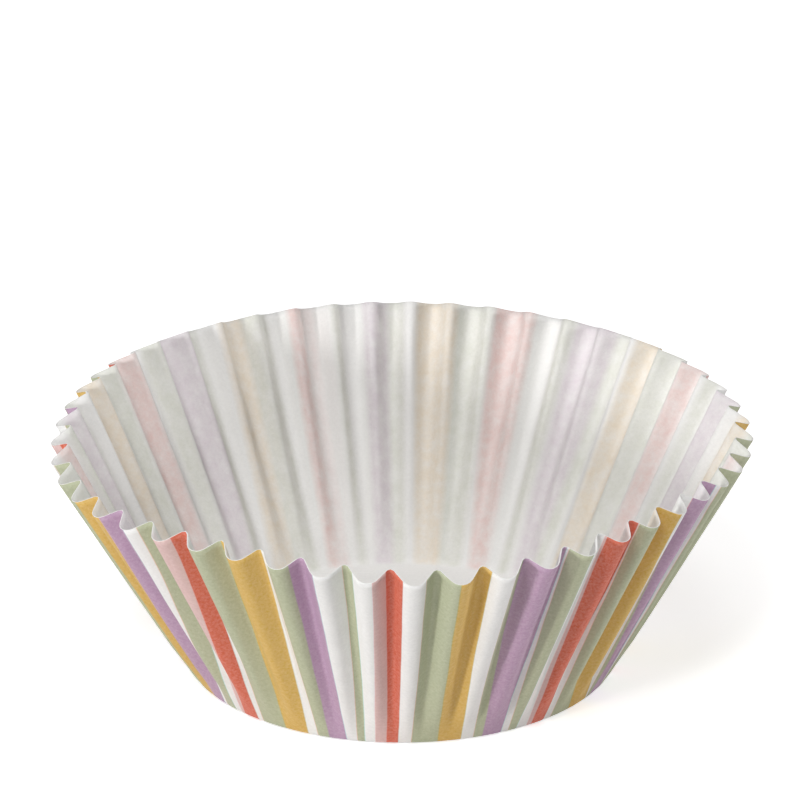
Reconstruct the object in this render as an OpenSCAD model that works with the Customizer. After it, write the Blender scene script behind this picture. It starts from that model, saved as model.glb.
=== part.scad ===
// Fluted paper cupcake liner: one printed paper disc, pressed into a round cup.
// Paper doesn't stretch, so a ring of the disc keeps its length when it is drawn into the
// narrower ring of the cup, and the flutes take up what is over. That is why they start at
// nothing at the base, deepen all the way up, and need no depth of their own.
// The origin is the middle of the base, on the surface it stands on. +Z is up, -Y the front.

/* [Cup] */
// Diameter of the base, out to the corner where its plane and the wall would meet
base_d = 50; // [44:0.5:56]
// Paper from that corner to the rim, up the lean of the wall
wall_length = 31.75; // [24:0.25:38]
// Lean of the wall from upright, in degrees
wall_lean = 27.5; // [18:0.5:36]
// Radius of the rounded edge between the base and the wall
edge_r = 1.2; // [0.6:0.1:2.4]
// Thickness of the paper
paper_t = 0.1; // [0.08:0.01:0.16]

/* [Flutes] */
// Number of flutes round the wall
flutes = 50; // [40:1:56]
// Radius of the broad outer crests, at the rim
crest_r = 1.3; // [0.8:0.05:1.5]
// Radius of the narrow inner valleys, at the rim
valley_r = 0.5; // [0.3:0.05:0.6]
// Bearing of the first crest, to the right of the front, in degrees
crest_bearing = 1.7; // [0:0.1:7.2]

/* [Print] */
// Number of times that the row of stripes comes round
repeats = 9; // [6:1:12]
// Bearing of the first row of stripes, to the right of the front, in degrees
print_bearing = 1.8; // [0:0.1:40]
// Colour of the bare paper
bare = "#EDECEA"; // [#EDECEA:Bare paper, #FFFFFF:White]
// Colour of the green stripes
sage = "#B4B994"; // [#B4B994:Sage, #A9B58C:Leaf]
// Colour of the yellow stripes
mustard = "#D3AE5C"; // [#D3AE5C:Mustard, #E0BE74:Straw]
// Colour of the purple stripes
lilac = "#B391B0"; // [#B391B0:Lilac, #A58BB5:Violet]
// Colour of the pale pink stripes
blush = "#D9B9B2"; // [#D9B9B2:Blush, #E3C3BC:Rose]
// Colour of the red stripes
coral = "#D0705A"; // [#D0705A:Coral, #C45F4E:Brick]

/* [Hidden] */

// One row of stripes, from left to right on the outside: parts of the row, and the colour
STRIPES = [
    [6.6, sage],
    [6.4, mustard],
    [3.1, bare],
    [2.7, sage],
    [4.8, lilac],
    [2.4, bare],
    [2.4, sage],
    [2.8, bare],
    [2.3, blush],
    [3.4, coral],
    [3.5, bare],
];

// Corners round one flute, and rings of corners up the wall, which crowd towards the base
FLUTE_STEPS = 8;
WALL_RINGS = 2;
RING_CROWDING = 1.8;
// Halvings that close in on the angle of a flank
HALVINGS = 30;

columns = flutes * FLUTE_STEPS;

// The rounded edge: the angle it turns the paper through, its length, and how far before
// the corner it starts
edge_turn = 90 - wall_lean;
edge_length = edge_r * edge_turn * PI / 180;
edge_setback = edge_r * tan(edge_turn / 2);

// Radius of the flat disc inside the edge, and the paper from there to the rim
flat_r = base_d / 2 - edge_setback;
rim_s = edge_length + wall_length - edge_setback;

// Middle of the paper without its flutes, at distance s from the flat disc
function climb(s) = min(s / edge_length, 1) * edge_turn;
function on_wall(s) = max(s - edge_length, 0);
function cup_r(s) = flat_r + edge_r * sin(climb(s)) + on_wall(s) * cos(edge_turn);
function cup_z(s) =
    paper_t / 2 + edge_r * (1 - cos(climb(s))) + on_wall(s) * sin(edge_turn);

// Room that the cup has for half a flute, and the paper that has to fit into it
function half_room(s) = PI * cup_r(s) / flutes;
function half_paper(s) = PI * (flat_r + s) / flutes;

// Angle of the flank between two arcs, of radii that add up to arcs_r, at which half a
// flute takes up its paper. Halving the interval finds it.
function half_width(angle, arcs_r, paper) =
    arcs_r * (sin(angle) - angle * PI / 180 * cos(angle)) + paper * cos(angle);
function flank_angle(arcs_r, paper, room, low = 0, high = 90, left = HALVINGS) =
    let (middle = (low + high) / 2)
    paper <= room ? 0
    : left == 0 ? middle
    : half_width(middle, arcs_r, paper) > room
        ? flank_angle(arcs_r, paper, room, middle, high, left - 1)
        : flank_angle(arcs_r, paper, room, low, middle, left - 1);

// Half a flute in section, at distance w along the paper from its crest:
// how far round the cup it is, how far out of it, and the angle that the paper falls at
function half_flute(w, crest, valley, angle, paper, room) =
    let (
        crest_arc = crest * angle * PI / 180,
        valley_arc = valley * angle * PI / 180,
        flank = paper - crest_arc - valley_arc,
        half_depth = ((crest + valley) * (1 - cos(angle)) + flank * sin(angle)) / 2
    )
    w < crest_arc
        ? let (fall = w / crest * 180 / PI)
            [crest * sin(fall), half_depth - crest * (1 - cos(fall)), fall]
    : paper - w < valley_arc
        ? let (fall = (paper - w) / valley * 180 / PI)
            [room - valley * sin(fall), valley * (1 - cos(fall)) - half_depth, fall]
    : [
        crest * sin(angle) + (w - crest_arc) * cos(angle),
        half_depth - crest * (1 - cos(angle)) - (w - crest_arc) * sin(angle),
        angle
    ];

// Corner of the paper in one ring and column, on its outer face (1) or its inner one (-1)
function corner(s, column, face) =
    let (
        paper = half_paper(s),
        room = half_room(s),
        scale = room / half_room(rim_s),
        crest = min(crest_r * scale, 0.6 * room),
        valley = min(valley_r * scale, 0.3 * room),
        angle = flank_angle(crest + valley, paper, room),
        turns = (column % columns) / FLUTE_STEPS,
        flute = round(turns),
        side = sign(turns - flute),
        at = half_flute(2 * paper * abs(turns - flute), crest, valley, angle, paper, room),
        across = side * (at[0] + face * paper_t / 2 * sin(at[2])),
        out = at[1] + face * paper_t / 2 * cos(at[2]),
        r = cup_r(s) + out * sin(climb(s)),
        bearing = crest_bearing + 360 * flute / flutes + across / cup_r(s) * 180 / PI - 90
    )
    [r * cos(bearing), r * sin(bearing), cup_z(s) - out * cos(climb(s))];

// Distances of the rings of corners from the flat disc, the first at its edge
RINGS = [
    0,
    edge_length / 2,
    for (i = [0 : WALL_RINGS])
        edge_length + (rim_s - edge_length) * pow(i / WALL_RINGS, RING_CROWDING)
];

// Stretch of the wall between two columns, from the flat disc to the rim
module strip(first, last) {
    top = len(RINGS) - 1;
    wide = last - first;
    // Number of a corner: face 0 is the outer one and 1 the inner one
    function at(face, ring, column) = (face * len(RINGS) + ring) * (wide + 1) + column;
    panels = [
        for (i = [0 : top - 1], k = [0 : wide - 1]) each [
            [at(0, i, k), at(0, i + 1, k), at(0, i + 1, k + 1), at(0, i, k + 1)],
            [at(1, i, k), at(1, i, k + 1), at(1, i + 1, k + 1), at(1, i + 1, k)]
        ],
        for (k = [0 : wide - 1]) each [
            [at(0, top, k), at(1, top, k), at(1, top, k + 1), at(0, top, k + 1)],
            [at(0, 0, k), at(0, 0, k + 1), at(1, 0, k + 1), at(1, 0, k)]
        ],
        for (i = [0 : top - 1]) each [
            [at(0, i, 0), at(1, i, 0), at(1, i + 1, 0), at(0, i + 1, 0)],
            [at(0, i, wide), at(0, i + 1, wide), at(1, i + 1, wide), at(1, i, wide)]
        ]
    ];
    polyhedron(
        points = [
            for (face = [1, -1], s = RINGS, k = [first : last]) corner(s, k, face)
        ],
        faces = [for (p = panels) each [[p[0], p[1], p[2]], [p[0], p[2], p[3]]]]
    );
}

// The first of the stripes before number i starts at 0, and their parts add up from there
function parts_before(i) = i == 0 ? 0 : parts_before(i - 1) + STRIPES[i - 1][0];
function stripe_column(row, i) =
    let (
        share = row + parts_before(i) / parts_before(len(STRIPES)),
        bearing = print_bearing - crest_bearing + 360 * share / repeats
    )
    round(bearing * columns / 360);

// Printed wall: each stripe is the paper between two columns, in its own colour
module wall() {
    for (row = [0 : repeats - 1], i = [0 : len(STRIPES) - 1])
        color(STRIPES[i][1]) strip(stripe_column(row, i), stripe_column(row, i + 1));
}

// Flat base, which is bare on both faces: triangles round a middle corner on each face
module base() {
    outer = 2;
    inner = 2 + columns;
    color(bare)
        polyhedron(
            points = [
                [0, 0, 0],
                [0, 0, paper_t],
                for (face = [1, -1], k = [0 : columns - 1]) corner(0, k, face)
            ],
            faces = [
                for (k = [0 : columns - 1]) let (next = (k + 1) % columns) each [
                    [0, outer + k, outer + next],
                    [1, inner + next, inner + k],
                    [outer + k, inner + k, inner + next],
                    [outer + k, inner + next, outer + next]
                ]
            ]
        );
}

module liner() {
    base();
    wall();
}

liner();
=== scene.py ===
"""Printed paper cupcake liner: one striped disc of paper, pressed into a fluted cup.

The paper starts as a flat disc in rings and columns, and Geometry Nodes fold it: the further
up the wall, the more paper there is for the room that the cup leaves it, and the flutes take
up the rest. The print and the fibres are laid on the flat disc, so they follow every flute.
Lengths are in metres and angles in degrees unless a name or a comment says otherwise.
"""

import sys
import logging
import math
from dataclasses import dataclass
from enum import Enum
from typing import Any

import bpy
from mathutils import Color, Euler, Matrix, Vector


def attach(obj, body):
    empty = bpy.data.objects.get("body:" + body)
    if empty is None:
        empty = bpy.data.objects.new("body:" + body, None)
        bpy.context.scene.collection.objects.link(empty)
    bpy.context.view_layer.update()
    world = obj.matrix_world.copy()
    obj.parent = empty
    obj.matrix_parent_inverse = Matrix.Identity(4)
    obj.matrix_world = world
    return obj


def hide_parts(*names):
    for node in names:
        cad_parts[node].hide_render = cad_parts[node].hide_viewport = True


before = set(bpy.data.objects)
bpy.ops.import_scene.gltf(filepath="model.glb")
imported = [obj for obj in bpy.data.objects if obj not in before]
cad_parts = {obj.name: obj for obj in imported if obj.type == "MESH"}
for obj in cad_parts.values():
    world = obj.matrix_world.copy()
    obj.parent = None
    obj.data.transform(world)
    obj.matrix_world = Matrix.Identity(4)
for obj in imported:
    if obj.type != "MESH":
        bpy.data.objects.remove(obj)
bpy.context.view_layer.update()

logging.basicConfig(level=logging.INFO, format="%(message)s", stream=sys.stdout)
log = logging.getLogger("liner")

MM = 0.001
DISC_UV = "disc"
WHITE = (1.0, 1.0, 1.0, 1.0)
Sockets = dict[str | int, Any]


@dataclass(frozen=True)
class Grain:
    """Smooth noise: its bumps in one unit of length, and the finer layers laid on them."""

    scale: float
    detail: float = 2.0
    roughness: float = 0.5


class Mixing(Enum):
    """What a Mix node mixes, and by what: its two settings, then its sockets' names."""

    COLOURS = ("RGBA", "UNIFORM", "Factor_Float", "Color")
    VECTORS = ("VECTOR", "NON_UNIFORM", "Factor_Vector", "Vector")


class Writer:
    """Adds nodes to one tree and links them, in geometry and in materials alike."""

    def __init__(self, tree: bpy.types.NodeTree) -> None:
        """Starts on a tree, which may hold nodes already."""
        self.tree = tree

    def node(self, kind: str, inputs: Sockets | None = None, **settings: Any) -> bpy.types.Node:
        """Adds one node.

        Args:
            kind: Blender's name for the type of node.
            inputs: What goes into its sockets, by name or number: a Field to link, or a value.
            settings: The node's own settings, which are set first.

        Returns:
            The new node.
        """
        made = self.tree.nodes.new(kind)
        for name, value in settings.items():
            setattr(made, name, value)
        for key, value in (inputs or {}).items():
            self.put(made.inputs[key], value)
        return made

    def put(self, socket: bpy.types.NodeSocket, value: Any) -> None:
        """Links a Field or an output to a socket, or sets a plain value on it.

        Args:
            socket: The input that takes it.
            value: The Field, the output or the plain value.
        """
        if isinstance(value, Field):
            value = value.socket
        if isinstance(value, bpy.types.NodeSocket):
            self.tree.links.new(value, socket)
        else:
            socket.default_value = value

    def field(self, kind: str, inputs: Sockets | None = None, **settings: Any) -> "Field":
        """Adds one node, as node() does, and gives its first output."""
        return Field(self, self.node(kind, inputs, **settings).outputs[0])

    def vector(self, x: Any, y: Any, z: Any = 0.0) -> "Field":
        """Joins three numbers into a vector."""
        return self.field("ShaderNodeCombineXYZ", {0: x, 1: y, 2: z})

    def vector_math(self, operation: str, first: Any, second: Any) -> "Field":
        """Works out a vector from two, number by number."""
        return self.field("ShaderNodeVectorMath", {0: first, 1: second}, operation=operation)

    def ramp(self, value: Any, start: Any, end: Any, low: Any = 0.0, high: Any = 1.0) -> "Field":
        """Carries a number so that start becomes low and end high, and holds it past them."""
        sockets = {"Value": value, "From Min": start, "From Max": end, "To Min": low, "To Max": high}
        return self.field("ShaderNodeMapRange", sockets)

    def noise(self, at: "Field", grain: Grain) -> "Field":
        """Reads smooth noise at a place, as a number round 0 and between -1 and 1."""
        sockets = {"Scale": grain.scale, "Detail": grain.detail, "Roughness": grain.roughness}
        return self.field("ShaderNodeTexNoise", {"Vector": at, **sockets}) * 2 - 1

    def mix(
        self, mixing: Mixing, first: Any, second: Any, share: Any, **settings: Any
    ) -> bpy.types.NodeSocket:
        """Mixes two colours by one share, or two vectors by a share for each number.

        Args:
            mixing: Which of the two it is.
            first, second: What is mixed, each an output or a plain value.
            share: How much of the second comes in.
            settings: Any other settings of the node.

        Returns:
            The mixed output.
        """
        data, factor_mode, factor, kind = mixing.value
        node = self.node("ShaderNodeMix", data_type=data, factor_mode=factor_mode, **settings)
        sockets = {s.identifier: s for s in node.inputs}
        self.put(sockets[factor], share)
        self.put(sockets[f"A_{kind}"], first)
        self.put(sockets[f"B_{kind}"], second)
        return next(s for s in node.outputs if s.identifier == f"Result_{kind}")

    def mix_colour(
        self, first: Any, second: Any, share: Any, **settings: Any
    ) -> bpy.types.NodeSocket:
        """Mixes a share of the second colour into the first, plainly unless settings say how."""
        return self.mix(Mixing.COLOURS, first, second, share, **settings)


class Field:
    """A number or a vector that a node gives out, with arithmetic that adds nodes."""

    def __init__(self, writer: Writer, socket: bpy.types.NodeSocket) -> None:
        """Wraps one output of a node."""
        self.writer = writer
        self.socket = socket

    def calc(self, operation: str, *others: Any) -> "Field":
        """Adds a Math node on this number and up to two others."""
        inputs = dict(enumerate((self, *others)))
        return self.writer.field("ShaderNodeMath", inputs, operation=operation)

    def __add__(self, other: Any) -> "Field":
        """This number and another."""
        return self.calc("ADD", other)

    def __sub__(self, other: Any) -> "Field":
        """This number less another."""
        return self.calc("SUBTRACT", other)

    def __mul__(self, other: Any) -> "Field":
        """This number times another."""
        return self.calc("MULTIPLY", other)

    def __truediv__(self, other: Any) -> "Field":
        """This number over another."""
        return self.calc("DIVIDE", other)

    def __rsub__(self, other: float) -> "Field":
        """A plain number less this one."""
        return self.calc("MULTIPLY_ADD", -1.0, other)

    def __rtruediv__(self, other: float) -> "Field":
        """A plain number over this one."""
        return self.writer.field("ShaderNodeMath", {0: other, 1: self}, operation="DIVIDE")

    def __neg__(self) -> "Field":
        """This number with its sign turned."""
        return self.calc("MULTIPLY", -1.0)

    def sin(self) -> "Field":
        """Sine of this number, in radians."""
        return self.calc("SINE")

    def cos(self) -> "Field":
        """Cosine of this number, in radians."""
        return self.calc("COSINE")

    def least(self, other: Any) -> "Field":
        """The lesser of this number and another."""
        return self.calc("MINIMUM", other)

    def most(self, other: Any) -> "Field":
        """The greater of this number and another."""
        return self.calc("MAXIMUM", other)

    def above(self, other: Any) -> "Field":
        """1 where this number is greater than another, and 0 elsewhere."""
        return self.calc("GREATER_THAN", other)

    def toward(self, other: Any, share: Any) -> "Field":
        """Goes a share of the way from this number to another."""
        sockets = {"Factor": share, "A": self, "B": other}
        return self.writer.field("ShaderNodeMix", sockets, data_type="FLOAT", clamp_factor=False)


@dataclass(frozen=True)
class Wave:
    """Slow wave round the cup, as soft paper settles into: its lobes, swing and one peak."""

    lobes: int
    swing: float
    peak: float

    def at(self, around: Field) -> Field:
        """Swing of the wave at a bearing, both in radians."""
        return ((around - math.radians(self.peak)) * self.lobes).cos() * math.radians(self.swing)


@dataclass(frozen=True)
class Cup:
    """Shape of the pressed cup, and how evenly its flutes came out of the press."""

    base_r: float = 25.0 * MM
    wall_length: float = 31.75 * MM
    wall_lean: float = 27.5
    edge_r: float = 1.2 * MM
    paper_t: float = 0.1 * MM
    flutes: int = 50
    crest_r: float = 1.3 * MM
    valley_r: float = 0.5 * MM
    # Most that the radius of a crest or a valley takes of the room for half a flute
    crest_share: float = 0.6
    valley_share: float = 0.3
    crest_bearing: float = 1.7
    columns_a_flute: int = 16
    base_rows: int = 4
    edge_rows: int = 5
    wall_rows: int = 36
    halvings: int = 24
    # Paper past the rounded edge over which the flutes come up softly
    soft_length: float = 5.0 * MM
    soft_power: float = 0.9
    lean_waves: tuple[Wave, ...] = (
        Wave(1, 0.31, -88.0),
        Wave(2, 0.84, -18.4),
        Wave(3, 0.31, -15.0),
        Wave(4, 0.56, 23.5),
        Wave(5, 1.07, 6.9),
    )
    rim_drifts: tuple[Wave, ...] = (Wave(1, 0.29, 54.7), Wave(2, 0.40, 23.5), Wave(3, 0.23, 47.4))
    # Most that a flute strays, as a share of its half room, and that its depth differs by
    pitch_unevenness: float = 0.025
    depth_unevenness: float = 0.04
    pitch_grain: Grain = Grain(5.0)
    depth_grain: Grain = Grain(6.0)
    # How far the noise moves from one seed to the next, and from the pitch to the depth
    seed: int = 7
    seed_step: float = 10.0
    depth_step: float = 3.0
    # Least radius at which a way round becomes a bearing, and the gap closed in the seam
    middle_r: float = 1.0 * MM
    seam_gap: float = 0.001 * MM

    @property
    def edge_turn(self) -> float:
        """Angle that the rounded edge turns the paper through, in radians."""
        return math.radians(90 - self.wall_lean)

    @property
    def edge_length(self) -> float:
        """Paper in the rounded edge."""
        return self.edge_r * self.edge_turn

    @property
    def edge_setback(self) -> float:
        """How far before the corner of base and wall the rounded edge starts."""
        return self.edge_r * math.tan(self.edge_turn / 2)

    @property
    def flat_r(self) -> float:
        """Radius of the flat disc inside the rounded edge."""
        return self.base_r - self.edge_setback

    @property
    def wall_paper(self) -> float:
        """Paper in the wall, from the rounded edge to the rim."""
        return self.wall_length - self.edge_setback

    @property
    def disc_r(self) -> float:
        """Radius of the paper disc before it was pressed."""
        return self.flat_r + self.edge_length + self.wall_paper

    @property
    def rim_room(self) -> float:
        """Room for half a flute at the rim."""
        past_flat = self.edge_r * math.sin(self.edge_turn) + self.wall_paper * math.cos(self.edge_turn)
        return math.pi * (self.flat_r + past_flat) / self.flutes

    def tree(self) -> bpy.types.NodeTree:
        """Builds the geometry tree that presses the disc into the cup.

        Returns:
            The tree, with the sizes as named inputs.
        """
        tree = bpy.data.node_groups.new("pressed_paper", "GeometryNodeTree")
        tree.interface.new_socket("Paper", in_out="OUTPUT", socket_type="NodeSocketGeometry")
        tree.interface.new_socket("Print", in_out="INPUT", socket_type="NodeSocketMaterial")
        for name, value in self.sizes().items():
            kind = "NodeSocketInt" if isinstance(value, int) else "NodeSocketFloat"
            tree.interface.new_socket(name, in_out="INPUT", socket_type=kind)
        write = Writer(tree)
        given = write.node("NodeGroupInput")
        size = {s.name: Field(write, s) for s in given.outputs if s.name}

        # Disc of paper: columns go round it, and rows out from its middle to the rim
        columns = size["Flutes"] * size["Columns a flute"]
        wall_starts = self.base_rows + self.edge_rows
        rows = wall_starts + self.wall_rows
        grid = write.node(
            "GeometryNodeMeshGrid",
            {"Size X": 1.0, "Size Y": 1.0, "Vertices X": columns + 1, "Vertices Y": rows + 1},
        )
        place = write.node("ShaderNodeSeparateXYZ", {0: grid.outputs["UV Map"]})
        round_share = Field(write, place.outputs["X"])
        row = Field(write, place.outputs["Y"]) * rows
        around = round_share * math.tau + size["Crest bearing"]

        # Cup without its flutes, by the paper s past the flat disc (below 0 on the disc itself)
        flat_r, edge_r = size["Flat radius"], size["Edge radius"]
        edge_length, wall_paper = size["Edge length"], size["Wall paper"]
        turn = size["Edge turn"]
        for wave in self.lean_waves:
            turn = turn - wave.at(around)
        s = (
            write.ramp(row, 0.0, self.base_rows, -flat_r, 0.0)
            + write.ramp(row, self.base_rows, wall_starts, 0.0, edge_length)
            + write.ramp(row, wall_starts, rows, 0.0, wall_paper)
        )
        climb = write.ramp(s, 0.0, edge_length, 0.0, turn)
        on_wall = (s - edge_length).most(0.0)
        cup_r = flat_r + s.least(0.0) + edge_r * climb.sin() + on_wall * turn.cos()
        cup_z = size["Paper thickness"] * 0.5 + edge_r * (1 - climb.cos()) + on_wall * turn.sin()

        # Half a flute: how far round the cup and how far out of it the paper lies
        half = size["Half turn"]
        paper = half * (flat_r + s)
        room = half * cup_r
        scale = room / size["Rim room"]
        crest = (size["Crest radius"] * scale).least(room * self.crest_share)
        valley = (size["Valley radius"] * scale).least(room * self.valley_share)
        angle = self.flank_angle(write, crest + valley, paper, room)
        turns = round_share * size["Flutes"]
        flute = turns.calc("ROUND")
        off = turns - flute
        w = off.calc("ABSOLUTE") * paper * 2
        across, out = self.half_flute(write, w, crest, valley, angle, paper, room)

        # Unevenness of soft paper: flutes that stray, differ in depth and start softly
        ring = round_share * math.tau
        up = on_wall / wall_paper
        spot = write.vector(ring.cos(), ring.sin(), up)
        drift_spot = self.moved(write, spot, size["Seed"], 0.0)
        depth_spot = self.moved(write, spot, size["Seed"], self.depth_step)
        drift = write.noise(drift_spot, self.pitch_grain) * size["Pitch unevenness"]
        depth = write.noise(depth_spot, self.depth_grain) * size["Depth unevenness"] + 1
        soft = write.ramp(s, 0.0, edge_length + size["Soft length"])
        out = out * depth * soft.calc("POWER", self.soft_power)
        for wave in self.rim_drifts:
            drift = drift + wave.at(around) * cup_r / room
        grown = write.ramp(on_wall, 0.0, wall_paper)
        aside = off.calc("SIGN") * across + drift * grown * room

        # Place in the cup, with +Z up and the front at -Y
        flute_bearing = flute / size["Flutes"] * math.tau
        bearing = flute_bearing + aside / cup_r.most(self.middle_r) + size["Crest bearing"]
        r = cup_r + out * climb.sin()
        z = cup_z - out * climb.cos()
        where = write.vector(r * bearing.sin(), -(r * bearing.cos()), z)

        # Place on the flat disc, which fills the map
        share = (flat_r + s) / size["Disc radius"] * 0.5
        flat = write.vector(share * around.sin() + 0.5, 0.5 - share * around.cos())
        done = self.finished(write, grid, where, flat, size["Print"])
        write.put(write.node("NodeGroupOutput").inputs["Paper"], done)
        return tree

    def finished(
        self, write: Writer, grid: bpy.types.Node, where: Field, flat: Field, printed: Field
    ) -> Field:
        """Lays the grid where the pressed paper is, closes its seam and dresses it.

        Args:
            write: Writes the geometry tree.
            grid: The grid of the flat disc.
            where: Place of each point in the cup.
            flat: Place of each point on the flat disc, for the map.
            printed: Material of the printed outside.

        Returns:
            The finished sheet.
        """
        laid = write.field(
            "GeometryNodeSetPosition", {"Geometry": grid.outputs["Mesh"], "Position": where}
        )
        smooth = write.field("GeometryNodeSetShadeSmooth", {"Geometry": laid, "Shade Smooth": True})
        mapped = write.field(
            "GeometryNodeStoreNamedAttribute",
            {"Geometry": smooth, "Name": DISC_UV, "Value": flat},
            data_type="FLOAT2",
            domain="CORNER",
        )
        joined = write.field(
            "GeometryNodeMergeByDistance", {"Geometry": mapped, "Distance": self.seam_gap}
        )
        real = write.field("GeometryNodeRealizeInstances", {"Geometry": joined})
        return write.field("GeometryNodeSetMaterial", {"Geometry": real, "Material": printed})

    def moved(self, write: Writer, spot: Field, seed: Field, step: float) -> Field:
        """Moves the place where noise is read, by the seed and by a step of its own."""
        away = write.vector(seed * self.seed_step + step, step)
        return write.vector_math("ADD", spot, away)

    def flank_angle(self, write: Writer, arcs: Field, paper: Field, room: Field) -> Field:
        """Finds the angle of the flank at which half a flute takes up its paper.

        Args:
            write: Writes the geometry tree.
            arcs: Radii of the crest and the valley added up.
            paper: Paper for half a flute.
            room: Room for half a flute.

        Returns:
            The angle in radians, closed in on by halving.
        """
        start = write.node("GeometryNodeRepeatInput")
        end = write.node("GeometryNodeRepeatOutput")
        start.pair_with_output(end)
        end.repeat_items.clear()
        end.repeat_items.new("FLOAT", "Low")
        end.repeat_items.new("FLOAT", "High")
        write.put(start.inputs["Iterations"], self.halvings)
        write.put(start.inputs["Low"], 0.0)
        write.put(start.inputs["High"], math.pi / 2)
        low, high = (Field(write, start.outputs[n]) for n in ("Low", "High"))
        middle = (low + high) * 0.5
        width = arcs * (middle.sin() - middle * middle.cos()) + paper * middle.cos()
        wide = width.above(room)
        write.put(end.inputs["Low"], low.toward(middle, wide))
        write.put(end.inputs["High"], middle.toward(high, wide))
        return Field(write, end.outputs["Low"])

    @staticmethod
    def half_flute(
        write: Writer, w: Field, crest: Field, valley: Field, angle: Field, paper: Field, room: Field
    ) -> tuple[Field, Field]:
        """Lays half a flute in section: an arc, a straight flank and an arc back.

        Args:
            write: Writes the geometry tree.
            w: Distance along the paper from the crest.
            crest, valley: Radii of the two arcs.
            angle: Angle of the flank in radians.
            paper, room: Paper and room for half a flute.

        Returns:
            How far round the cup the paper is from the crest, and how far out of the cup.
        """
        crest_arc, valley_arc = crest * angle, valley * angle
        flank = paper - crest_arc - valley_arc
        half_depth = ((crest + valley) * (1 - angle.cos()) + flank * angle.sin()) * 0.5
        on_crest = w.least(crest_arc) / crest
        on_flank = write.ramp(w, crest_arc, crest_arc + flank, 0.0, flank)
        left = (paper - w).least(valley_arc) / valley
        across = crest * on_crest.sin() + on_flank * angle.cos()
        across = across + valley * (angle.sin() - left.sin())
        down = crest * (1 - on_crest.cos()) + on_flank * angle.sin()
        down = down + valley * (left.cos() - angle.cos())
        return across, half_depth - down

    def sizes(self) -> dict[str, float | int]:
        """Lists the sizes that the tree takes in.

        Returns:
            The sizes by the names of the inputs: whole numbers as int, and others as float.
        """
        return {
            "Half turn": math.pi / self.flutes,
            "Flat radius": self.flat_r,
            "Disc radius": self.disc_r,
            "Edge radius": self.edge_r,
            "Edge turn": self.edge_turn,
            "Edge length": self.edge_length,
            "Wall paper": self.wall_paper,
            "Rim room": self.rim_room,
            "Paper thickness": self.paper_t,
            "Crest radius": self.crest_r,
            "Valley radius": self.valley_r,
            "Crest bearing": math.radians(self.crest_bearing),
            "Soft length": self.soft_length,
            "Pitch unevenness": self.pitch_unevenness,
            "Depth unevenness": self.depth_unevenness,
            "Flutes": self.flutes,
            "Columns a flute": self.columns_a_flute,
            "Seed": self.seed,
        }


@dataclass(frozen=True)
class Disc:
    """Place on the flat paper disc, in millimetres and degrees, as a material reads it.

    The flat base ends at the distance fold from the middle, and the paper at the rim.
    """

    spot: Field
    bearing: Field
    distance: Field
    fold: float
    rim: float

    @classmethod
    def read(cls, write: Writer, cup: Cup) -> "Disc":
        """Reads the place from the piece's own map.

        Args:
            write: Writes the material's tree.
            cup: The cup, for the sizes of its disc.

        Returns:
            The place.
        """
        wide = 2 * cup.disc_r / MM
        flat = write.field("ShaderNodeUVMap", uv_map=DISC_UV)
        middled = write.vector_math("SUBTRACT", flat, (0.5, 0.5, 0.0))
        spot = write.vector_math("MULTIPLY", middled, (wide, wide, 0.0))
        parts = write.node("ShaderNodeSeparateXYZ", {0: spot})
        x, y = Field(write, parts.outputs["X"]), Field(write, parts.outputs["Y"])
        bearing = x.calc("ARCTAN2", -y) * math.degrees(1)
        distance = (x * x + y * y).calc("SQRT")
        return cls(spot, bearing, distance, cup.flat_r / MM, cup.disc_r / MM)


class Ink(Enum):
    """Colours of the print on its white paper, as they are seen, from 0 to 255."""

    BARE = (238, 237, 235)
    SAGE = (182, 186, 157)
    MUSTARD = (213, 176, 99)
    LILAC = (186, 155, 180)
    BLUSH = (219, 187, 183)
    CORAL = (210, 111, 89)

    @property
    def linear(self) -> tuple[float, ...]:
        """The colour in linear light, as vectors hold it."""
        return tuple(Color(c / 255 for c in self.value).from_srgb_to_scene_linear())

    @property
    def socket(self) -> tuple[float, ...]:
        """The colour in linear light with full alpha, as colour sockets hold it."""
        return (*self.linear, 1.0)


@dataclass(frozen=True)
class Row:
    """One hand-drawn row of stripes, with the bearing where each stripe starts.

    Bearings are counted to the right from the start of the row, in degrees of the paper, at
    the fold of the base and at the rim.
    """

    at_fold: tuple[float, ...]
    at_rim: tuple[float, ...]


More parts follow.
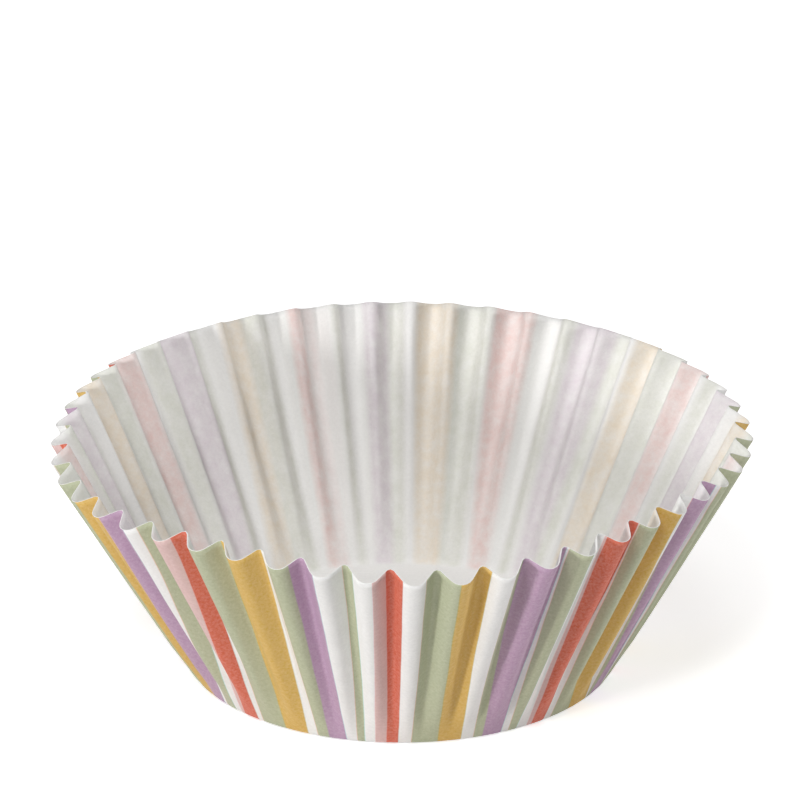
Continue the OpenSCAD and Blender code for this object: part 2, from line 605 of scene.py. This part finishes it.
@dataclass(frozen=True)
class Print:
    """Striped print on the outside of the wall: rows of the same inks, each drawn anew."""

    first: Ink = Ink.SAGE
    inks: tuple[Ink, ...] = (
        Ink.MUSTARD,
        Ink.BARE,
        Ink.SAGE,
        Ink.LILAC,
        Ink.BARE,
        Ink.SAGE,
        Ink.BARE,
        Ink.BLUSH,
        Ink.CORAL,
        Ink.BARE,
        Ink.SAGE,
    )
    rows: tuple[Row, ...] = (
        Row(
            at_fold=(11.0, 16.5, 16.5, 16.5, 21.6, 22.7, 26.4, 28.8, 29.6, 34.7, 36.4),
            at_rim=(12.3, 19.7, 19.7, 19.7, 26.3, 27.9, 30.8, 31.0, 35.1, 37.2, 37.6),
        ),
        Row(
            at_fold=(3.6, 10.2, 13.0, 16.2, 20.8, 23.5, 25.5, 28.3, 31.2, 34.2, 37.5),
            at_rim=(4.1, 11.5, 13.8, 16.7, 21.4, 25.4, 27.2, 30.1, 32.3, 35.2, 38.3),
        ),
        Row(
            at_fold=(4.3, 10.6, 14.0, 16.6, 21.6, 23.8, 26.2, 29.5, 31.1, 34.9, 37.5),
            at_rim=(3.7, 8.9, 12.0, 14.3, 22.3, 22.6, 25.8, 29.9, 30.2, 37.5, 37.6),
        ),
        Row(
            at_fold=(4.5, 12.2, 12.2, 13.9, 20.0, 20.3, 29.0, 31.0, 33.0, 36.0, 37.5),
            at_rim=(0.4, 6.7, 12.2, 12.2, 19.7, 20.3, 28.9, 29.5, 30.4, 31.5, 32.0),
        ),
    )
    # Rows round the paper, by their places in the tuple above, and where they start
    order: tuple[int, ...] = (0, 1, 2, 3, 1, 2, 1, 2, 1)
    start: float = -75.0
    swing_near_fold: float = 2.2
    # In millimetres: how far the edges waver, and how far the blue-green plate slips
    edge_waver: float = 0.12
    plate_slip: float = 0.05
    waver_grain: Grain = Grain(0.13, 1.0)

    @property
    def row_width(self) -> float:
        """Width of one row in degrees of the paper."""
        return 360 / len(self.order)

    def starts(self, write: Writer, number: Field, stripe: int, swing: Field) -> Field:
        """Finds where one stripe starts, as a share of its row.

        Args:
            write: Writes the material's tree.
            number: Number of the row round the paper.
            stripe: Number of the stripe in its row.
            swing: How much of the way it is from the start at the rim to the one at the fold.

        Returns:
            The start as a share of the row's width.
        """
        count = len(self.order)
        node = write.node("ShaderNodeValToRGB", {0: (number + 0.5) / count})
        ramp = node.color_ramp
        ramp.interpolation = "CONSTANT"
        while len(ramp.elements) < count:
            ramp.elements.new(1.0)
        for place, row in enumerate(self.order):
            at_fold, at_rim = self.rows[row].at_fold[stripe], self.rows[row].at_rim[stripe]
            ramp.elements[place].position = place / count
            ramp.elements[place].color = (at_fold / self.row_width, at_rim / self.row_width, 0.0, 1.0)
        parts = write.node("ShaderNodeSeparateColor", {0: node.outputs["Color"]})
        fold_share, rim_share = (Field(write, parts.outputs[n]) for n in ("Red", "Green"))
        return rim_share.toward(fold_share, swing)

    def colour(self, write: Writer, disc: Disc, slip: float, blur: float) -> bpy.types.NodeSocket:
        """Prints the stripes from three plates, one of which doesn't quite meet the others.

        Args:
            write: Writes the material's tree.
            disc: Place on the paper.
            slip: How far the blue-green plate slips to the right, in millimetres.
            blur: How wide the colours run into each other, in millimetres.

        Returns:
            The colour of the print.
        """
        up = write.ramp(disc.distance, disc.fold, disc.rim)
        swing = (1 - up).calc("POWER", self.swing_near_fold)
        waver = write.noise(disc.spot, self.waver_grain) * self.edge_waver
        row_share_a_mm = math.degrees(1) / self.row_width / disc.distance
        turned = (disc.bearing - self.start) / self.row_width + waver * row_share_a_mm
        turned = turned.calc("FLOORED_MODULO", len(self.order))
        number = turned.calc("FLOOR")
        along = turned - number
        plates = write.vector(along - row_share_a_mm * slip, along, along)
        sharpness = 1 / (row_share_a_mm * blur)
        colour: Any = self.first.linear
        for stripe, ink in enumerate(self.inks):
            edge = self.starts(write, number, stripe, swing)
            past = write.vector_math("SUBTRACT", plates, edge)
            there = write.vector_math("MULTIPLY", past, sharpness)
            colour = write.mix(Mixing.VECTORS, colour, ink.linear, there)
        return colour


def new_material(name: str) -> tuple[bpy.types.Material, Writer, bpy.types.Node]:
    """Starts a node material with one Principled shader.

    Args:
        name: Name of the material.

    Returns:
        The material, a writer on its tree, and the shader.
    """
    made = bpy.data.materials.new(name)
    made.use_nodes = True
    made.node_tree.nodes.clear()
    write = Writer(made.node_tree)
    shader = write.node("ShaderNodeBsdfPrincipled")
    write.node("ShaderNodeOutputMaterial", {"Surface": shader.outputs["BSDF"]})
    return made, write, shader


@dataclass(frozen=True)
class Fibres:
    """Fibres of the paper: how they change its tone, and how high they stand."""

    tone_grain: Grain = Grain(2.6, 4.0, 0.75)
    cloud_grain: Grain = Grain(0.35)
    cloud_share: float = 0.3
    relief_grain: Grain = Grain(2.4, 4.0, 0.6)
    relief: float = 0.024 * MM
    relief_strength: float = 0.6

    def mottled(self, write: Writer, disc: Disc, colour: Any, amount: float) -> bpy.types.NodeSocket:
        """Makes a colour a little lighter and darker over the fibres.

        Args:
            write: Writes the material's tree.
            disc: Place on the paper.
            colour: The colour, an output or a plain one.
            amount: How much it changes at most.

        Returns:
            The mottled colour.
        """
        fine = write.noise(disc.spot, self.tone_grain) * amount
        broad = write.noise(disc.spot, self.cloud_grain) * (amount * self.cloud_share)
        level = fine + broad + 1
        grey = write.field("ShaderNodeCombineColor", {0: level, 1: level, 2: level})
        return write.mix_colour(colour, grey, 1.0, blend_type="MULTIPLY")

    def raised(self, write: Writer, disc: Disc) -> bpy.types.NodeSocket:
        """Raises the fibres as a fine bump.

        Args:
            write: Writes the material's tree.
            disc: Place on the paper.

        Returns:
            The normal of the bumpy paper.
        """
        height = write.noise(disc.spot, self.relief_grain)
        sockets = {"Strength": self.relief_strength, "Distance": self.relief, "Height": height}
        return write.node("ShaderNodeBump", sockets).outputs["Normal"]


@dataclass(frozen=True)
class PrintedPaper:
    """Outside of the liner: matt paper with the stripes printed on the wall."""

    cup: Cup
    design: Print
    fibres: Fibres
    roughness: float = 0.58
    specular: float = 0.35
    mottle: float = 0.13
    # How much bare paper shows between the specks of ink
    ink_gaps: float = 0.22
    speck_grain: Grain = Grain(2.6, 3.0, 0.75)
    # In millimetres: blur of the stripes' edges, and where the print comes in past the fold
    edge_blur: float = 0.12
    print_starts: float = 0.1
    print_full: float = 0.5

    def material(self) -> bpy.types.Material:
        """Builds the material.

        Returns:
            The printed paper.
        """
        made, write, shader = new_material("striped_paper")
        disc = Disc.read(write, self.cup)
        bare = Ink.BARE.socket
        colour = self.design.colour(write, disc, self.design.plate_slip, self.edge_blur)
        starts, full = disc.fold + self.print_starts, disc.fold + self.print_full
        colour = write.mix_colour(bare, colour, write.ramp(disc.distance, starts, full))
        gaps = write.noise(disc.spot, self.speck_grain) * self.ink_gaps
        colour = write.mix_colour(colour, bare, gaps, clamp_factor=False)
        colour = self.fibres.mottled(write, disc, colour, self.mottle)
        write.put(shader.inputs["Base Color"], colour)
        write.put(shader.inputs["Normal"], self.fibres.raised(write, disc))
        shader.inputs["Roughness"].default_value = self.roughness
        shader.inputs["Specular IOR Level"].default_value = self.specular
        return made


@dataclass(frozen=True)
class BarePaper:
    """Inside of the liner: white paper with the print showing through it faintly."""

    cup: Cup
    design: Print
    fibres: Fibres
    roughness: float = 0.6
    specular: float = 0.3
    mottle: float = 0.10
    # How much of the print shows through, and how much that differs from cloud to cloud
    show_through: float = 0.24
    show_clouds: float = 0.275
    cloud_grain: Grain = Grain(0.55, 4.0, 0.7)
    # In millimetres: blur of the stripes' edges, and where they come in past the fold
    edge_blur: float = 0.9
    show_starts: float = 0.1
    show_full: float = 0.8

    def material(self) -> bpy.types.Material:
        """Builds the material.

        Returns:
            The unprinted paper.
        """
        made, write, shader = new_material("paper_inside")
        disc = Disc.read(write, self.cup)
        printed = self.design.colour(write, disc, 0.0, self.edge_blur)
        starts, full = disc.fold + self.show_starts, disc.fold + self.show_full
        clouds = write.noise(disc.spot, self.cloud_grain) * self.show_clouds
        share = write.ramp(disc.distance, starts, full) * (clouds + self.show_through)
        colour = write.mix_colour(Ink.BARE.socket, printed, share)
        colour = self.fibres.mottled(write, disc, colour, self.mottle)
        write.put(shader.inputs["Base Color"], colour)
        write.put(shader.inputs["Normal"], self.fibres.raised(write, disc))
        shader.inputs["Roughness"].default_value = self.roughness
        shader.inputs["Specular IOR Level"].default_value = self.specular
        return made


@dataclass(frozen=True)
class CutEdge:
    """Edge of the paper at the rim, where the cut shows its white fibres."""

    cup: Cup
    fibres: Fibres
    roughness: float = 0.8
    mottle: float = 0.06

    def material(self) -> bpy.types.Material:
        """Builds the material.

        Returns:
            The cut edge.
        """
        made, write, shader = new_material("paper_cut_edge")
        disc = Disc.read(write, self.cup)
        colour = self.fibres.mottled(write, disc, Ink.BARE.socket, self.mottle)
        write.put(shader.inputs["Base Color"], colour)
        shader.inputs["Roughness"].default_value = self.roughness
        return made


@dataclass(frozen=True)
class Liner:
    """The fluted paper liner, one pressed piece of paper."""

    cup: Cup = Cup()
    design: Print = Print()
    fibres: Fibres = Fibres()

    def build(self) -> bpy.types.Object:
        """Presses the paper, gives it its thickness and dresses it.

        Returns:
            The finished piece, a plain mesh at the origin.
        """
        outside = PrintedPaper(self.cup, self.design, self.fibres).material()
        inside = BarePaper(self.cup, self.design, self.fibres).material()
        edge = CutEdge(self.cup, self.fibres).material()
        sheet = self.plain(self.pressed(outside), "pressed_sheet")
        sheet.data.materials.clear()
        for finish in (outside, inside, edge):
            sheet.data.materials.append(finish)
        thick = sheet.modifiers.new("thickness", "SOLIDIFY")
        thick.thickness = self.cup.paper_t
        thick.offset = 0.0
        thick.use_even_offset = True
        thick.material_offset = 1
        thick.material_offset_rim = 2
        piece = self.plain(sheet, "fluted_liner")
        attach(piece, "root")
        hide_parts("liner")
        return piece

    def pressed(self, outside: bpy.types.Material) -> bpy.types.Object:
        """Makes the object that the geometry tree fills with the pressed paper.

        Args:
            outside: Material of the printed outside.

        Returns:
            The object with its modifier still live.
        """
        blank = bpy.data.objects.new("pressed", bpy.data.meshes.new("pressed"))
        bpy.context.scene.collection.objects.link(blank)
        modifier = blank.modifiers.new("press", "NODES")
        modifier.node_group = self.cup.tree()
        values = {**self.cup.sizes(), "Print": outside}
        for item in modifier.node_group.interface.items_tree:
            if item.in_out == "INPUT":
                modifier[item.identifier] = values[item.name]
        return blank

    @staticmethod
    def plain(made: bpy.types.Object, name: str) -> bpy.types.Object:
        """Turns an object with live modifiers into a plain mesh and removes it.

        Args:
            made: The object with its modifiers.
            name: Name of the piece.

        Returns:
            The plain piece.
        """
        live = made.evaluated_get(bpy.context.evaluated_depsgraph_get())
        mesh = bpy.data.meshes.new_from_object(live)
        mesh.name = name
        piece = bpy.data.objects.new(name, mesh)
        bpy.context.scene.collection.objects.link(piece)
        bpy.data.objects.remove(made)
        return piece


@dataclass(frozen=True)
class SoftBox:
    """One flat soft light that looks at the liner."""

    name: str
    place: tuple[float, float, float]
    size: float
    watts: float

    def build(self, target: Vector) -> None:
        """Hangs the light.

        Args:
            target: What it looks at.
        """
        lamp = bpy.data.lights.new(self.name, "AREA")
        lamp.shape = "DISK"
        lamp.size = self.size
        lamp.energy = self.watts
        made = bpy.data.objects.new(self.name, lamp)
        made.location = self.place
        made.rotation_euler = (target - Vector(self.place)).to_track_quat("-Z", "Y").to_euler()
        bpy.context.scene.collection.objects.link(made)


@dataclass(frozen=True)
class Studio:
    """Pale floor, soft light and the camera."""

    target: tuple[float, float, float] = (0.0, 0.0, 0.012)
    world_level: float = 0.10
    floor_wide: float = 6.0
    floor_drop: float = 0.02 * MM
    floor_grey: float = 0.88
    floor_glow: float = 0.66
    lights: tuple[SoftBox, ...] = (
        SoftBox("key", (-0.24, -0.64, 0.84), 0.36, 5.2),
        SoftBox("left", (-0.80, -0.74, 0.15), 0.16, 4.6),
        SoftBox("right", (1.08, -0.10, 0.17), 0.20, 3.0),
        SoftBox("top", (-0.05, -0.10, 1.10), 0.60, 2.6),
    )
    camera_away: float = 0.700
    camera_height: float = 25.07
    camera_pitch: float = 22.66
    camera_roll: float = 0.134
    camera_turn: float = 0.016
    # Lens and sensor in millimetres, and how near and far the camera sees
    lens: float = 268.23
    sensor: float = 36.0
    sees_from: float = 0.01
    sees_to: float = 20.0

    def build(self) -> None:
        """Builds the world, floor, lights and camera."""
        self.world()
        self.floor()
        for light in self.lights:
            light.build(Vector(self.target))
        self.camera()
        bpy.context.scene.view_settings.view_transform = "Standard"

    def world(self) -> None:
        """Lights the scene softly from all round, and shows the camera plain white."""
        world = bpy.data.worlds.new("studio")
        world.use_nodes = True
        world.node_tree.nodes.clear()
        write = Writer(world.node_tree)
        level = self.seen(write) * (1 - self.world_level) + self.world_level
        back = write.node("ShaderNodeBackground", {"Color": WHITE, "Strength": level})
        write.node("ShaderNodeOutputWorld", {"Surface": back.outputs[0]})
        bpy.context.scene.world = world

    @staticmethod
    def seen(write: Writer) -> Field:
        """Tells what the camera sees straight on, mirrored or through glass.

        Args:
            write: Writes the tree of the world or a material.

        Returns:
            1 for what it sees so, and 0 for the rest.
        """
        path = write.node("ShaderNodeLightPath")
        rays = ("Is Camera Ray", "Is Glossy Ray", "Is Transmission Ray")
        camera, gloss, through = (Field(write, path.outputs[ray]) for ray in rays)
        return camera.most(gloss).most(through)

    def floor(self) -> None:
        """Lays the floor, white where it is lit and darker in the liner's shadow."""
        half = self.floor_wide / 2
        mesh = bpy.data.meshes.new("floor")
        corners = ((-half, -half), (half, -half), (half, half), (-half, half))
        mesh.from_pydata([(x, y, -self.floor_drop) for x, y in corners], [], [(0, 1, 2, 3)])
        made = bpy.data.objects.new("floor", mesh)
        bpy.context.scene.collection.objects.link(made)
        surface = bpy.data.materials.new("floor")
        surface.use_nodes = True
        surface.node_tree.nodes.clear()
        write = Writer(surface.node_tree)
        grey = (self.floor_grey, self.floor_grey, self.floor_grey, 1.0)
        matt = write.node("ShaderNodeBsdfDiffuse", {"Color": grey})
        strength = self.seen(write) * self.floor_glow
        glow = write.node("ShaderNodeEmission", {"Color": WHITE, "Strength": strength})
        both = write.node("ShaderNodeAddShader", {0: matt.outputs[0], 1: glow.outputs[0]})
        write.node("ShaderNodeOutputMaterial", {"Surface": both.outputs[0]})
        mesh.materials.append(surface)

    def camera(self) -> None:
        """Sets up the camera at the height, distance and tilt of the photograph's."""
        lens = bpy.data.cameras.new("camera")
        lens.lens = self.lens
        lens.sensor_width = self.sensor
        lens.clip_start, lens.clip_end = self.sees_from, self.sees_to
        made = bpy.data.objects.new("camera", lens)
        high = math.radians(self.camera_height)
        made.location = (0.0, -self.camera_away * math.cos(high), self.camera_away * math.sin(high))
        turned = Euler((math.radians(90 - self.camera_pitch), 0.0, math.radians(self.camera_turn)))
        rolled = Euler((0.0, 0.0, math.radians(self.camera_roll)))
        made.rotation_euler = (turned.to_matrix() @ rolled.to_matrix()).to_euler()
        bpy.context.scene.collection.objects.link(made)
        bpy.context.scene.camera = made


def main() -> None:
    """Builds the liner, then the studio."""
    piece = Liner().build()
    mesh = piece.data
    mesh.calc_loop_triangles()
    log.info("%s: %d corners, %d triangles", piece.name, len(mesh.vertices), len(mesh.loop_triangles))
    studio = Studio()
    studio.build()
    log.info("studio: floor, %d lights and the camera", len(studio.lights))
    bpy.context.view_layer.update()


if __name__ == "__main__":
    main()
